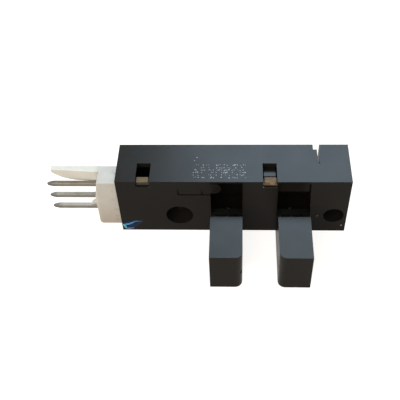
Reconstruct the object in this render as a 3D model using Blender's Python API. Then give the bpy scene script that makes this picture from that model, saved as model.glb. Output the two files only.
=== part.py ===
"""Slot photointerrupter: a moulded housing with two arms, a board, an infrared pair and a side connector.

The part lies on one long side, as it would on a bench, with its two arms pointing forwards.
All sizes below are in millimetres. The drawing frame has x along the housing (0 at its middle),
y from the mounting face back to the cover, and z up from the side that the part lies on.
"""
import math

import bmesh
import bpy
from mathutils import Vector

MM = 0.001

# How far a cutter reaches past the surface it opens, and how far joined shapes run into each other
CUT_OVER = 0.5
EMBED = 0.3

# Housing block
BODY_LENGTH = 33.6
BODY_DEPTH = 7.4
BODY_HEIGHT = 11.0
WALL = 0.8
FRONT_WALL = 0.4

# Arms and the slot between them
SLOT_WIDTH = 5.05
ARM_INSET = 0.35
ARM_WIDTH = 4.6
ARM_HEIGHT = 7.07
ARM_REACH = 10.3
ARM_WALL = 0.8
ARM_CORNER_RADIUS = 1.05
ROOT_OPENING = 3.08
ROOT_HEIGHT = 3.2

# Openings over the arm roots
WINDOW_SILL_RISE = 0.15
WINDOW_LIP = 0.3
WINDOW_FLARE = 0.3
SCREEN_SETBACK = 1.0
SCREEN_THICKNESS = 0.4
SCREEN_DROP = 3.13
TONGUE_LENGTH = 1.52
TONGUE_TOP_GAP = 0.24
TONGUE_HEIGHT = 1.93
RING_FROM_TIP = 0.62
RING_BELOW_MIDDLE = 0.17
RING_RADIUS = 0.42
RING_WIDTH = 0.2
RING_DEPTH = 0.1
SEAM_DROP = 0.2
SEAM_WIDTH = 0.25
SEAM_DEPTH = 0.28
SEAM_LENGTH = 4.76
SEAM_RISE = 1.42
SEAM_TICK_OFFSET = 1.33
SEAM_TICK_RISE = 1.25

# Light slits in the faces of the arms
APERTURE_HEIGHT = 0.5
APERTURE_LENGTH = 2.1
APERTURE_TO_CORNER = 0.85
OPTICAL_HEIGHT = 3.05
OPTICAL_SETBACK = 2.25

# Screw holes
HOLE_HEIGHT = 3.6
ROUND_HOLE_TO_ARM = 4.7
ROUND_HOLE_DIAMETER = 4.0
EAR_HOLE_INSET = 1.96
EAR_HOLE_DIAMETER = 3.0
BOSS_WALL = 0.7

# Screw ear at the right end, and the slit that frees it
EAR_LENGTH = 4.3
SLIT_WIDTH = 0.28
SLIT_DEPTH = 3.85
SLIT_DROP = 5.0
SLIT_MOUTH_WIDTH = 0.93
SLIT_MOUTH_DEPTH = 1.0
SLIT_MOUTH_SHIFT = 0.1

# Latch notches in the top front edge
NOTCH_WIDTH = 2.0
NOTCH_DEPTH = 3.6
NOTCH_DROP = 1.2
LEFT_NOTCH_INSET = 3.93
NOTCH_TO_ARM = 0.18

# Clearances
FIT = 0.08
PIN_FIT = 0.06
LATCH_CLEARANCE = 0.15

# Circuit board
BOARD_THICKNESS = 1.0
TAB_DROP = 0.6
TAB_SPREAD = 0.08
BOARD_OVER_LEADS = 0.58
BOARD_WINDOW_MARGIN = 0.1
BOARD_SIDE_RELIEF = 1.0
TAB_ROOT = 1.0

# Rear cover and the ledges that it sits on
COVER_THICKNESS = 0.8
LEDGE_WIDTH = 0.5
LEDGE_DEPTH = 0.6
HOOK_THICKNESS = 0.6
HOOK_NOSE = 0.68
HOOK_NOSE_DROP = 0.5
HOOK_UNDERCUT = 0.15
POST_DIAMETER = 1.4
POST_FROM_EDGE = 0.5
POST_FROM_TOP = 1.4

# Connector
CONNECTOR_OUT = 3.4
CONNECTOR_FRONT_GAP = 0.17
CONNECTOR_DEPTH = 3.48
CONNECTOR_FLOOR_GAP = 0.08
CONNECTOR_ROOF_GAP = 0.2
CONNECTOR_LEAN = 0.55
CONNECTOR_LEAN_DROP = 3.4
CONNECTOR_CORNER_RADIUS = 0.5
FLANGE_LENGTH = 0.6
FLANGE_RISE = 0.5
FLANGE_SETBACK = 1.0
FLANGE_STEP = 0.02
CONNECTOR_EDGE = 0.12
BEVELLED_ANGLE = math.radians(40)
BLADE_LENGTH = 6.5
BLADE_HEIGHT = 2.0
BLADE_THICKNESS = 1.2
BLADE_TIP_THICKNESS = 0.75
BLADE_TIP_HEIGHT = 0.6
BLADE_CURVE_LENGTH = 3.9
BLADE_CURVE_SWEEP = math.radians(45)
NUB_REACH = 1.15
NUB_HEIGHT = 0.8

# Pins
PIN_PITCH = 2.5
PIN_COUNT = 3
PIN_SIDE = 0.64
PIN_OUT = 7.2
PIN_SETBACK = 1.78
PIN_TIP_LENGTH = 0.95
PIN_TIP_SIDE = 0.22
PIN_SHOULDER_SIDE = 0.42
PIN_BEND_RADIUS = 0.4

# Infrared emitter and detector
PACKAGE_THICKNESS = 1.6
PACKAGE_FLOOR_GAP = 0.3
PACKAGE_LENGTH = 3.1
PACKAGE_TIP_GAP = 0.15
PACKAGE_EDGE = 0.12
LENS_RADIUS = 0.9
LENS_RISE = 0.5
LEAD_SIDE = 0.3
LEAD_EDGE = 0.03
LEAD_PITCH = 0.75
LEAD_RISE = 0.42
LEAD_SOCKET = 0.5
LEAD_TAIL = 0.7

# Solder and chip parts on the back of the board
SOLDER_RISE = 0.42
SOLDER_WALL = 0.1
PIN_SOLDER_WALL = 0.12
CHIP_RESISTOR = (1.6, 0.45, 0.8)
CHIP_CAPACITOR = (2.0, 0.8, 1.25)
CHIP_EDGE = 0.05
CHIP_OVER_BOSS = 1.5
CHIP_SPACING = 2.7
CAPACITOR_TO_SLOT = 0.8
CAPACITOR_RISE = 2.7

# Places worked out from the sizes above
LEFT_END = -BODY_LENGTH / 2
RIGHT_END = BODY_LENGTH / 2
CAVITY_LEFT = LEFT_END + WALL
CAVITY_RIGHT = RIGHT_END - EAR_LENGTH - SLIT_WIDTH - WALL
CAVITY_TOP = BODY_HEIGHT - WALL
RIGHT_ARM_X = CAVITY_RIGHT - ARM_INSET - ARM_WIDTH
LEFT_ARM_X = RIGHT_ARM_X - SLOT_WIDTH - ARM_WIDTH
ROUND_HOLE_X = LEFT_ARM_X - ROUND_HOLE_TO_ARM
LEFT_NOTCH_X = LEFT_END + LEFT_NOTCH_INSET
RIGHT_NOTCH_X = RIGHT_ARM_X - NOTCH_TO_ARM - NOTCH_WIDTH / 2
BOARD_FRONT = FRONT_WALL + FIT
BOARD_BACK = BOARD_FRONT + BOARD_THICKNESS
BOARD_LEFT = CAVITY_LEFT + 2 * FIT + FLANGE_LENGTH
BOARD_RIGHT = CAVITY_RIGHT - FIT
BOARD_BOTTOM = WALL + FIT
BOARD_TOP = CAVITY_TOP - FIT
WINDOW_SILL = ROOT_HEIGHT + WINDOW_SILL_RISE
WINDOW_TOP = BODY_HEIGHT - WINDOW_LIP
TONGUE_MIDDLE = WINDOW_TOP - TONGUE_TOP_GAP - TONGUE_HEIGHT / 2
COVER_FRONT = BODY_DEPTH - COVER_THICKNESS
BOSS_RADIUS = ROUND_HOLE_DIAMETER / 2 + BOSS_WALL
CONNECTOR_FRONT = FRONT_WALL + CONNECTOR_FRONT_GAP
CONNECTOR_BACK = CONNECTOR_FRONT + CONNECTOR_DEPTH
CONNECTOR_LEFT = LEFT_END - CONNECTOR_OUT
CONNECTOR_BOTTOM = WALL + CONNECTOR_FLOOR_GAP
CONNECTOR_TOP = CAVITY_TOP - CONNECTOR_ROOF_GAP
FLANGE_LEFT = CAVITY_LEFT + FIT
FLANGE_RIGHT = FLANGE_LEFT + FLANGE_LENGTH
PIN_Y = CONNECTOR_FRONT + PIN_SETBACK
PIN_SOLDER_HOLE = PIN_SIDE / 2 * math.sqrt(2) + PIN_FIT / 2
PIN_LEG_X = FLANGE_RIGHT + FIT + PIN_SOLDER_HOLE + PIN_SOLDER_WALL
OPTICAL_Y = OPTICAL_SETBACK - ARM_REACH
LEAD_HEIGHT = BOARD_BOTTOM + LEAD_RISE + LEAD_PITCH
STRIP_TOP = LEAD_HEIGHT + LEAD_PITCH + BOARD_OVER_LEADS
PACKAGE_HALF_HEIGHT = OPTICAL_HEIGHT - ARM_WALL - PACKAGE_FLOOR_GAP

# The drawing frame moves so that the origin is the middle of the part's underside
PART_LEFT = CONNECTOR_LEFT - PIN_OUT
PART_MIDDLE = Vector(((PART_LEFT + RIGHT_END) / 2, (BODY_DEPTH - ARM_REACH) / 2, 0))

# Colours, roughness and metallic values
BLACK_RESIN = ((0.022, 0.022, 0.023), 0.45, 0.0)
BOARD_MASK = ((0.030, 0.036, 0.028), 0.5, 0.0)
NYLON = ((0.62, 0.58, 0.52), 0.5, 0.0)
TINNED = ((0.42, 0.39, 0.35), 0.38, 1.0)
SOLDER = ((0.62, 0.63, 0.64), 0.3, 1.0)
CLEAR_RESIN = ((0.10, 0.13, 0.20), 0.2, 0.0)
DARK_RESIN = ((0.012, 0.010, 0.014), 0.2, 0.0)
CHIP_BLACK = ((0.02, 0.02, 0.02), 0.4, 0.0)
CHIP_TAN = ((0.35, 0.24, 0.13), 0.5, 0.0)


def clear_scene():
    for item in list(bpy.data.objects):
        bpy.data.objects.remove(item, do_unlink=True)


def material(name, look):
    """A plain surface with a colour, a roughness and a metallic value."""
    colour, roughness, metallic = look
    surface = bpy.data.materials.new(name)
    surface.use_nodes = True
    shader = surface.node_tree.nodes["Principled BSDF"]
    shader.inputs["Base Color"].default_value = (*colour, 1)
    shader.inputs["Roughness"].default_value = roughness
    shader.inputs["Metallic"].default_value = metallic
    surface.diffuse_color = (*colour, 1)
    return surface


def add_object(name, mesh_data):
    """Turns a closed bmesh in millimetres into an object that hangs from the frame empty."""
    bmesh.ops.recalc_face_normals(mesh_data, faces=mesh_data.faces)
    bmesh.ops.scale(mesh_data, vec=(MM, MM, MM), verts=mesh_data.verts)
    mesh = bpy.data.meshes.new(name)
    mesh_data.to_mesh(mesh)
    mesh_data.free()
    item = bpy.data.objects.new(name, mesh)
    bpy.context.collection.objects.link(item)
    item.parent = bpy.data.objects["frame"]
    return item


def finish(item, surface, smooth=False):
    """Gives a piece its material, and smooth shading where it is round."""
    item.data.materials.append(surface)
    if smooth:
        item.data.shade_smooth()
        item.data.set_sharp_from_angle(angle=math.radians(35))
    return item


def box(name, low, high, bevel=0.0):
    """A block between two corners, with its edges rounded by bevel."""
    shape = bmesh.new()
    size = Vector(high) - Vector(low)
    bmesh.ops.create_cube(shape, size=1)
    bmesh.ops.scale(shape, vec=size, verts=shape.verts)
    bmesh.ops.translate(shape, vec=Vector(low) + size / 2, verts=shape.verts)
    if bevel:
        bmesh.ops.bevel(shape, geom=shape.edges[:], offset=bevel, segments=2, profile=0.5, affect="EDGES")
    return add_object(name, shape)


def prism(name, outline, axis, start, end, rounded=None, bevel=0.0):
    """An outline drawn in the two axes other than axis, in their own order, extruded from start to end.

    rounded is ((x, y), radius): the corner along z that is rounded off. bevel rounds all sharp edges.
    """
    shape = bmesh.new()
    place = {
        "x": lambda a, b: (start, a, b),
        "y": lambda a, b: (a, start, b),
        "z": lambda a, b: (a, b, start),
    }[axis]
    way = {"x": (1, 0, 0), "y": (0, 1, 0), "z": (0, 0, 1)}[axis]
    face = shape.faces.new([shape.verts.new(place(a, b)) for a, b in outline])
    side = bmesh.ops.extrude_face_region(shape, geom=[face])
    moved = [part for part in side["geom"] if isinstance(part, bmesh.types.BMVert)]
    bmesh.ops.translate(shape, vec=Vector(way) * (end - start), verts=moved)
    if rounded:
        corner, radius = rounded
        edges = [edge for edge in shape.edges if is_upright_at(edge, corner)]
        bmesh.ops.bevel(shape, geom=edges, offset=radius, segments=8, profile=0.5, affect="EDGES")
    if bevel:
        bmesh.ops.recalc_face_normals(shape, faces=shape.faces)
        sharp = [edge for edge in shape.edges if edge.calc_face_angle() > BEVELLED_ANGLE]
        bmesh.ops.bevel(shape, geom=sharp, offset=bevel, segments=2, profile=0.5, affect="EDGES")
    return add_object(name, shape)


def is_upright_at(edge, corner):
    """True for an edge along z that stands at corner."""
    return all((Vector(vert.co.xy) - Vector(corner)).length < 0.001 for vert in edge.verts)


def rod_along_y(name, x, z, radius, start, end, segments=40):
    """A cylinder along y."""
    turn = 2 * math.pi / segments
    outline = [(x + radius * math.cos(i * turn), z + radius * math.sin(i * turn)) for i in range(segments)]
    return prism(name, outline, "y", start, end)


def ring_along_y(name, x, z, profile, segments=20):
    """A closed ring turned about a line along y: profile is a list of (radius, y)."""
    shape = bmesh.new()
    rows = []
    for i in range(segments):
        angle = 2 * math.pi * i / segments
        rows.append([
            shape.verts.new((x + radius * math.cos(angle), y, z + radius * math.sin(angle)))
            for radius, y in profile
        ])
    count = len(profile)
    for i in range(segments):
        here, there = rows[i], rows[(i + 1) % segments]
        for j in range(count):
            shape.faces.new((here[j], here[(j + 1) % count], there[(j + 1) % count], there[j]))
    return add_object(name, shape)


def bar_in_plan(name, path, height, sides):
    """A square bar that follows path, a list of (x, y), at one height; sides is its side at each point."""
    shape = bmesh.new()
    rows = []
    for i, (x, y) in enumerate(path):
        before = Vector(path[max(i - 1, 0)])
        after = Vector(path[min(i + 1, len(path) - 1)])
        along = (after - before).normalized()
        across = Vector((-along.y, along.x)) * sides[i] / 2
        lift = sides[i] / 2
        rows.append([
            shape.verts.new((x + side * across.x, y + side * across.y, height + rise * lift))
            for side, rise in ((-1, -1), (1, -1), (1, 1), (-1, 1))
        ])
    for here, there in zip(rows, rows[1:]):
        for j in range(4):
            shape.faces.new((here[j], here[(j + 1) % 4], there[(j + 1) % 4], there[j]))
    shape.faces.new(rows[0])
    shape.faces.new(rows[-1])
    return add_object(name, shape)


def boolean(target, tool, operation):
    """Joins tool to target or cuts it from target; the tool itself isn't part of the model."""
    step = target.modifiers.new(tool.name, "BOOLEAN")
    step.operation = operation
    step.solver = "EXACT"
    step.object = tool
    tool.hide_render = True
    tool.display_type = "WIRE"


def cut(target, *tools):
    for tool in tools:
        boolean(target, tool, "DIFFERENCE")


def join(target, *tools):
    for tool in tools:
        boolean(target, tool, "UNION")


def arm_block(name, left, inner_side):
    """One arm outside: low at its root, full height further out, with its inner front corner rounded."""
    root = FRONT_WALL / 2
    side = [
        (root, 0), (-ARM_REACH, 0), (-ARM_REACH, ARM_HEIGHT),
        (-ROOT_OPENING, ARM_HEIGHT), (-ROOT_OPENING, ROOT_HEIGHT), (root, ROOT_HEIGHT),
    ]
    corner = (left + (ARM_WIDTH if inner_side > 0 else 0), -ARM_REACH)
    return prism(name, side, "x", left, left + ARM_WIDTH, rounded=(corner, ARM_CORNER_RADIUS))


def arm_hollow(name, left):
    """The space inside an arm, open through the front wall into the housing."""
    low = (left + ARM_WALL, ARM_WALL - ARM_REACH, ARM_WALL)
    high = (left + ARM_WIDTH - ARM_WALL, FRONT_WALL + EMBED, ARM_HEIGHT - ARM_WALL)
    return box(name, low, high)


def tongue_outline():
    """The left window's opening in x and z, which leaves a round-tipped tongue standing in it."""
    left, right = LEFT_ARM_X, LEFT_ARM_X + ARM_WIDTH
    radius = TONGUE_HEIGHT / 2
    centre = left + TONGUE_LENGTH - radius
    steps = 12
    turns = [math.pi * i / steps for i in range(steps + 1)]
    tip = [(centre + radius * math.sin(turn), TONGUE_MIDDLE + radius * math.cos(turn)) for turn in turns]
    return [(left, WINDOW_SILL), (right, WINDOW_SILL), (right, WINDOW_TOP), (left, WINDOW_TOP),
            (left, TONGUE_MIDDLE + radius), *tip, (left, TONGUE_MIDDLE - radius)]


def window_cutters():
    """The openings in the front wall over each arm's root; the right one widens a little downwards."""
    through = FRONT_WALL + EMBED
    left, right = RIGHT_ARM_X, RIGHT_ARM_X + ARM_WIDTH
    right_outline = [(left, WINDOW_SILL), (right + WINDOW_FLARE, WINDOW_SILL),
                     (right, WINDOW_TOP), (left, WINDOW_TOP)]
    return [
        prism("left_window_cutter", tongue_outline(), "y", -CUT_OVER, through),
        prism("right_window_cutter", right_outline, "y", -CUT_OVER, through),
    ]


def window_screen():
    """A wall that hangs from the roof behind the upper part of the right window."""
    return box("window_screen", (RIGHT_ARM_X, SCREEN_SETBACK, BODY_HEIGHT - SCREEN_DROP),
               (RIGHT_ARM_X + ARM_WIDTH, SCREEN_SETBACK + SCREEN_THICKNESS, CAVITY_TOP + EMBED))


def cover_ledges():
    """A ledge at each end of the hollow, which the cover sits against."""
    back = COVER_FRONT - FIT
    sides = [(CAVITY_LEFT - EMBED, CAVITY_LEFT + LEDGE_WIDTH),
             (CAVITY_RIGHT - LEDGE_WIDTH, CAVITY_RIGHT + EMBED)]
    return [
        box(f"ledge_{i}", (low, back - LEDGE_DEPTH, WALL - EMBED), (high, back, CAVITY_TOP + EMBED))
        for i, (low, high) in enumerate(sides)
    ]


def tongue_ring_cutter():
    """A fine ring groove near the tongue's tip."""
    profile = [(RING_RADIUS - RING_WIDTH, -CUT_OVER), (RING_RADIUS, -CUT_OVER),
               (RING_RADIUS, RING_DEPTH), (RING_RADIUS - RING_WIDTH, RING_DEPTH)]
    return ring_along_y("tongue_ring_cutter", LEFT_ARM_X + TONGUE_LENGTH - RING_FROM_TIP,
                        TONGUE_MIDDLE - RING_BELOW_MIDDLE, profile)


def seam_cutters():
    """Fine grooves below the tongue and at its root, on the front face."""
    height = TONGUE_MIDDLE - TONGUE_HEIGHT / 2 - SEAM_WIDTH - SEAM_DROP
    inside = height + SEAM_WIDTH / 4
    start = LEFT_ARM_X - SEAM_LENGTH
    tick = LEFT_ARM_X - SEAM_TICK_OFFSET
    return [
        box("seam_cutter", (start, -CUT_OVER, height),
            (LEFT_ARM_X + SEAM_WIDTH, SEAM_DEPTH, height + SEAM_WIDTH)),
        box("seam_end_cutter", (start, -CUT_OVER, inside),
            (start + SEAM_WIDTH, SEAM_DEPTH, height + SEAM_RISE)),
        box("seam_tick_cutter", (tick, -CUT_OVER, inside),
            (tick + SEAM_WIDTH, SEAM_DEPTH, height + SEAM_TICK_RISE)),
    ]


def aperture_cutters():
    """The slits that let the beam out of one arm and into the other."""
    low = OPTICAL_HEIGHT - APERTURE_HEIGHT / 2
    high = OPTICAL_HEIGHT + APERTURE_HEIGHT / 2
    inner_left = LEFT_ARM_X + ARM_WIDTH
    front = OPTICAL_Y - APERTURE_LENGTH / 2
    back = OPTICAL_Y + APERTURE_LENGTH / 2
    return [
        box("left_aperture_cutter", (inner_left - ARM_WALL - EMBED, front - APERTURE_TO_CORNER, low),
            (inner_left + CUT_OVER, back, high)),
        box("right_aperture_cutter", (RIGHT_ARM_X - CUT_OVER, front, low),
            (RIGHT_ARM_X + ARM_WALL + EMBED, back, high)),
    ]


def slit_cutters():
    """The slit behind the screw ear, with a wider mouth at the back."""
    right = RIGHT_END - EAR_LENGTH
    mouth_right = right + SLIT_MOUTH_SHIFT
    low, high = BODY_HEIGHT - SLIT_DROP, BODY_HEIGHT + CUT_OVER
    return [
        box("slit_cutter", (right - SLIT_WIDTH, BODY_DEPTH - SLIT_DEPTH, low),
            (right, BODY_DEPTH + CUT_OVER, high)),
        box("slit_mouth_cutter",
            (mouth_right - SLIT_MOUTH_WIDTH, BODY_DEPTH - SLIT_MOUTH_DEPTH, low + SLIT_MOUTH_SHIFT),
            (mouth_right, BODY_DEPTH + 2 * CUT_OVER, high + CUT_OVER)),
    ]


def notch_cutter(name, x):
    half = NOTCH_WIDTH / 2
    return box(name, (x - half, -CUT_OVER, BODY_HEIGHT - NOTCH_DROP),
               (x + half, NOTCH_DEPTH, BODY_HEIGHT + CUT_OVER))


def cavity_cutter():
    """The hollow behind the front wall, less the boss of the round screw hole."""
    back = BODY_DEPTH + CUT_OVER
    hollow = box("cavity_cutter", (CAVITY_LEFT, FRONT_WALL, WALL), (CAVITY_RIGHT, back, CAVITY_TOP))
    boss = rod_along_y("boss_core", ROUND_HOLE_X, HOLE_HEIGHT, BOSS_RADIUS, 0, back + CUT_OVER, 48)
    cut(hollow, boss)
    return hollow


def screw_hole_cutters():
    back = BODY_DEPTH + CUT_OVER
    ear_hole_x = RIGHT_END - EAR_HOLE_INSET
    return [
        rod_along_y("round_hole_cutter", ROUND_HOLE_X, HOLE_HEIGHT, ROUND_HOLE_DIAMETER / 2,
                    -CUT_OVER, back, 48),
        rod_along_y("ear_hole_cutter", ear_hole_x, HOLE_HEIGHT, EAR_HOLE_DIAMETER / 2, -CUT_OVER, back),
    ]


def connector_opening():
    """The opening in the end wall that the connector comes out of."""
    return box("connector_opening",
               (LEFT_END - CUT_OVER, CONNECTOR_FRONT - PIN_FIT, CONNECTOR_BOTTOM - PIN_FIT),
               (CAVITY_LEFT + EMBED, CONNECTOR_BACK + PIN_FIT, CONNECTOR_TOP + PIN_FIT))


def make_housing(surface):
    """The black moulding: block, two arms, screw holes, windows, notches and slits."""
    housing = box("housing", (LEFT_END, 0, 0), (RIGHT_END, BODY_DEPTH, BODY_HEIGHT))
    join(housing, arm_block("left_arm", LEFT_ARM_X, 1), arm_block("right_arm", RIGHT_ARM_X, -1))
    cut(housing, cavity_cutter())
    cut(housing, arm_hollow("left_hollow", LEFT_ARM_X), arm_hollow("right_hollow", RIGHT_ARM_X))
    cut(housing, *window_cutters())
    join(housing, window_screen(), *cover_ledges())
    cut(housing, *seam_cutters(), tongue_ring_cutter())
    cut(housing, *aperture_cutters())
    cut(housing, *slit_cutters())
    cut(housing, notch_cutter("left_notch_cutter", LEFT_NOTCH_X))
    cut(housing, notch_cutter("right_notch_cutter", RIGHT_NOTCH_X))
    cut(housing, *screw_hole_cutters())
    cut(housing, connector_opening())
    return finish(housing, surface, smooth=True)


def latch_hook(x):
    """The cover's latch arm: it runs forward under the top wall, and its nose stands up in a notch."""
    half = NOTCH_WIDTH / 2 - LATCH_CLEARANCE
    back = COVER_FRONT + COVER_THICKNESS / 2
    front = BOARD_BACK + FIT
    top = CAVITY_TOP - HOOK_UNDERCUT
    tip = BODY_HEIGHT - HOOK_NOSE_DROP
    outline = [
        (back, top), (front + HOOK_NOSE, top), (front + HOOK_NOSE, tip),
        (front, tip), (front, top - HOOK_THICKNESS), (back, top - HOOK_THICKNESS),
    ]
    return prism("latch_hook", outline, "x", x - half, x + half)


def post_places():
    """The x and z of the cover's posts: two beside the left window, and one low between the arms."""
    reach = BOARD_WINDOW_MARGIN + POST_DIAMETER / 2 + POST_FROM_EDGE
    height = BOARD_TOP - POST_FROM_TOP - POST_DIAMETER / 2
    corner = POST_DIAMETER / 2 + POST_FROM_EDGE / 2
    return [
        (LEFT_ARM_X - reach, height),
        (LEFT_ARM_X + ARM_WIDTH + reach, height),
        (RIGHT_ARM_X - SLOT_WIDTH / 2, BOARD_BOTTOM + corner),
    ]


def make_cover(surface):
    """The plate that closes the back, with a latch hook and posts that press on the board."""
    cover = box("rear_cover", (CAVITY_LEFT + FIT, COVER_FRONT, WALL + FIT),
                (CAVITY_RIGHT - FIT, BODY_DEPTH, CAVITY_TOP - FIT))
    join(cover, latch_hook(RIGHT_NOTCH_X))
    for i, (x, z) in enumerate(post_places()):
        join(cover, rod_along_y(f"post_{i}", x, z, POST_DIAMETER / 2,
                                BOARD_BACK + FIT, COVER_FRONT + EMBED, 20))
    cut(cover, rod_along_y("cover_hole_cutter", ROUND_HOLE_X, HOLE_HEIGHT, BOSS_RADIUS + FIT,
                           COVER_FRONT - CUT_OVER, BODY_DEPTH + CUT_OVER, 48))
    return finish(cover, surface, smooth=True)


def lead_places():
    """The x and z of each lead of the emitter, then of the detector."""
    emitter_x = emitter_face() - PACKAGE_THICKNESS / 2
    detector_x = detector_face() + PACKAGE_THICKNESS / 2
    emitter = [(emitter_x, LEAD_HEIGHT + side * LEAD_PITCH) for side in (-1, 1)]
    detector = [(detector_x, LEAD_HEIGHT + side * LEAD_PITCH) for side in (-1, 0, 1)]
    return emitter, detector


def emitter_face():
    """The x of the emitter's flat lens side, with the lens just clear of the arm's inner wall."""
    return LEFT_ARM_X + ARM_WIDTH - ARM_WALL - FIT - LENS_RISE


def detector_face():
    return RIGHT_ARM_X + ARM_WALL + FIT + LENS_RISE


def pin_heights():
    """The heights of the connector's pins, from the top one down."""
    middle = BODY_HEIGHT / 2
    return [middle + PIN_PITCH * ((PIN_COUNT - 1) / 2 - i) for i in range(PIN_COUNT)]


def make_board(surface):
    """The board stands behind the front wall; two tabs reach up into the notches."""
    board = box("circuit_board", (BOARD_LEFT, BOARD_FRONT, BOARD_BOTTOM),
                (BOARD_RIGHT, BOARD_BACK, BOARD_TOP))
    half = NOTCH_WIDTH / 2 - LATCH_CLEARANCE
    for name, x in (("left_tab", LEFT_NOTCH_X - TAB_SPREAD), ("right_tab", RIGHT_NOTCH_X + TAB_SPREAD)):
        join(board, box(name, (x - half, BOARD_FRONT, BOARD_TOP - TAB_ROOT),
                        (x + half, BOARD_BACK, BODY_HEIGHT - TAB_DROP)))
    front, back = BOARD_FRONT - CUT_OVER, BOARD_BACK + CUT_OVER
    margin = BOARD_WINDOW_MARGIN
    for name, left, relief in (("left_gap", LEFT_ARM_X, 0), ("right_gap", RIGHT_ARM_X, BOARD_SIDE_RELIEF)):
        cut(board, box(name, (left - margin, front, STRIP_TOP),
                       (left + ARM_WIDTH + margin + relief, back, BOARD_TOP + CUT_OVER)))
    radius = BOSS_RADIUS + 2 * FIT
    cut(board, rod_along_y("board_hole", ROUND_HOLE_X, HOLE_HEIGHT, radius, front, back, 48))
    cut(board, box("board_mouth", (ROUND_HOLE_X - radius, front, BOARD_BOTTOM - CUT_OVER),
                   (ROUND_HOLE_X + radius, back, HOLE_HEIGHT)))
    emitter, detector = lead_places()
    side = LEAD_SIDE / 2 + PIN_FIT
    for i, (x, z) in enumerate(emitter + detector):
        cut(board, box(f"lead_hole_{i}", (x - side, front, z - side), (x + side, back, z + side)))
    return finish(board, surface)


def dome(name, base, way, segments=24, rings=6):
    """A shallow lens cap that stands on the face at base and bulges along x in the direction way."""
    shape = bmesh.new()
    sphere_radius = (LENS_RADIUS ** 2 + LENS_RISE ** 2) / (2 * LENS_RISE)
    spread = math.asin(LENS_RADIUS / sphere_radius)
    rows = []
    for j in range(rings, 0, -1):
        angle = spread * j / rings
        radius = sphere_radius * math.sin(angle)
        out = LENS_RISE - sphere_radius * (1 - math.cos(angle))
        rows.append(lens_row(shape, base, way, radius, out, segments))
    rows.insert(0, lens_row(shape, base, way, LENS_RADIUS, -EMBED, segments))
    tip = shape.verts.new((base[0] + way * LENS_RISE, base[1], base[2]))
    for here, there in zip(rows, rows[1:]):
        for i in range(segments):
            k = (i + 1) % segments
            shape.faces.new((here[i], here[k], there[k], there[i]))
    for i in range(segments):
        shape.faces.new((rows[-1][i], rows[-1][(i + 1) % segments], tip))
    shape.faces.new(rows[0])
    return add_object(name, shape)


def lens_row(shape, base, way, radius, out, segments):
    turn = 2 * math.pi / segments
    return [
        shape.verts.new((base[0] + way * out, base[1] + radius * math.cos(i * turn),
                         base[2] + radius * math.sin(i * turn)))
        for i in range(segments)
    ]


def make_package(name, face, way, leads, surface):
    """A resin package in an arm's tip, with its lens towards the slot and sockets for its leads."""
    front = ARM_WALL + PACKAGE_TIP_GAP - ARM_REACH
    back = front + PACKAGE_LENGTH
    low, high = sorted((face, face - way * PACKAGE_THICKNESS))
    package = box(name, (low, front, OPTICAL_HEIGHT - PACKAGE_HALF_HEIGHT),
                  (high, back, OPTICAL_HEIGHT + PACKAGE_HALF_HEIGHT), bevel=PACKAGE_EDGE)
    join(package, dome(f"{name}_lens", (face, OPTICAL_Y, OPTICAL_HEIGHT), way))
    side = LEAD_SIDE / 2 + PIN_FIT
    for i, (x, z) in enumerate(leads):
        cut(package, box(f"{name}_socket_{i}", (x - side, back - LEAD_SOCKET - PIN_FIT, z - side),
                         (x + side, back + CUT_OVER, z + side)))
    return finish(package, surface, smooth=True)


def make_leads(prefix, leads, surface):
    """Straight leads from the package's back, through the board, to short tails behind it."""
    package_back = ARM_WALL + PACKAGE_TIP_GAP - ARM_REACH + PACKAGE_LENGTH
    half = LEAD_SIDE / 2
    for i, (x, z) in enumerate(leads, start=1):
        lead = box(f"{prefix}_lead_{i}", (x - half, package_back - LEAD_SOCKET, z - half),
                   (x + half, BOARD_BACK + LEAD_TAIL, z + half), bevel=LEAD_EDGE)
        finish(lead, surface)


def header_outline():
    """The header block from the front: it leans back at its upper left and is rounded at its lower left."""
    radius = CONNECTOR_CORNER_RADIUS
    steps = 3
    corner = []
    for i in range(steps + 1):
        turn = math.pi / 2 * i / steps
        corner.append((CONNECTOR_LEFT + radius * (1 - math.sin(turn)),
                       CONNECTOR_BOTTOM + radius * (1 - math.cos(turn))))
    return [(FLANGE_RIGHT, CONNECTOR_BOTTOM), *corner, (CONNECTOR_LEFT, CONNECTOR_TOP - CONNECTOR_LEAN_DROP),
            (CONNECTOR_LEFT + CONNECTOR_LEAN, CONNECTOR_TOP), (FLANGE_RIGHT, CONNECTOR_TOP)]


def blade_outline():
    """The lock blade from the front: straight on top, its lower left corner curved up to a low tip."""
    root = CONNECTOR_LEFT + CONNECTOR_LEAN + EMBED
    tip = CONNECTOR_LEFT - BLADE_LENGTH
    bottom = CONNECTOR_TOP - BLADE_HEIGHT
    curve_start = tip + BLADE_CURVE_LENGTH
    rise = BLADE_HEIGHT - BLADE_TIP_HEIGHT
    steps = 10
    curve = []
    for i in range(steps + 1):
        angle = BLADE_CURVE_SWEEP * i / steps
        along = math.sin(angle) / math.sin(BLADE_CURVE_SWEEP)
        up = (1 - math.cos(angle)) / (1 - math.cos(BLADE_CURVE_SWEEP))
        curve.append((curve_start - BLADE_CURVE_LENGTH * along, bottom + rise * up))
    return [(root, CONNECTOR_TOP), (root, bottom), *curve, (tip, CONNECTOR_TOP)]


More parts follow.
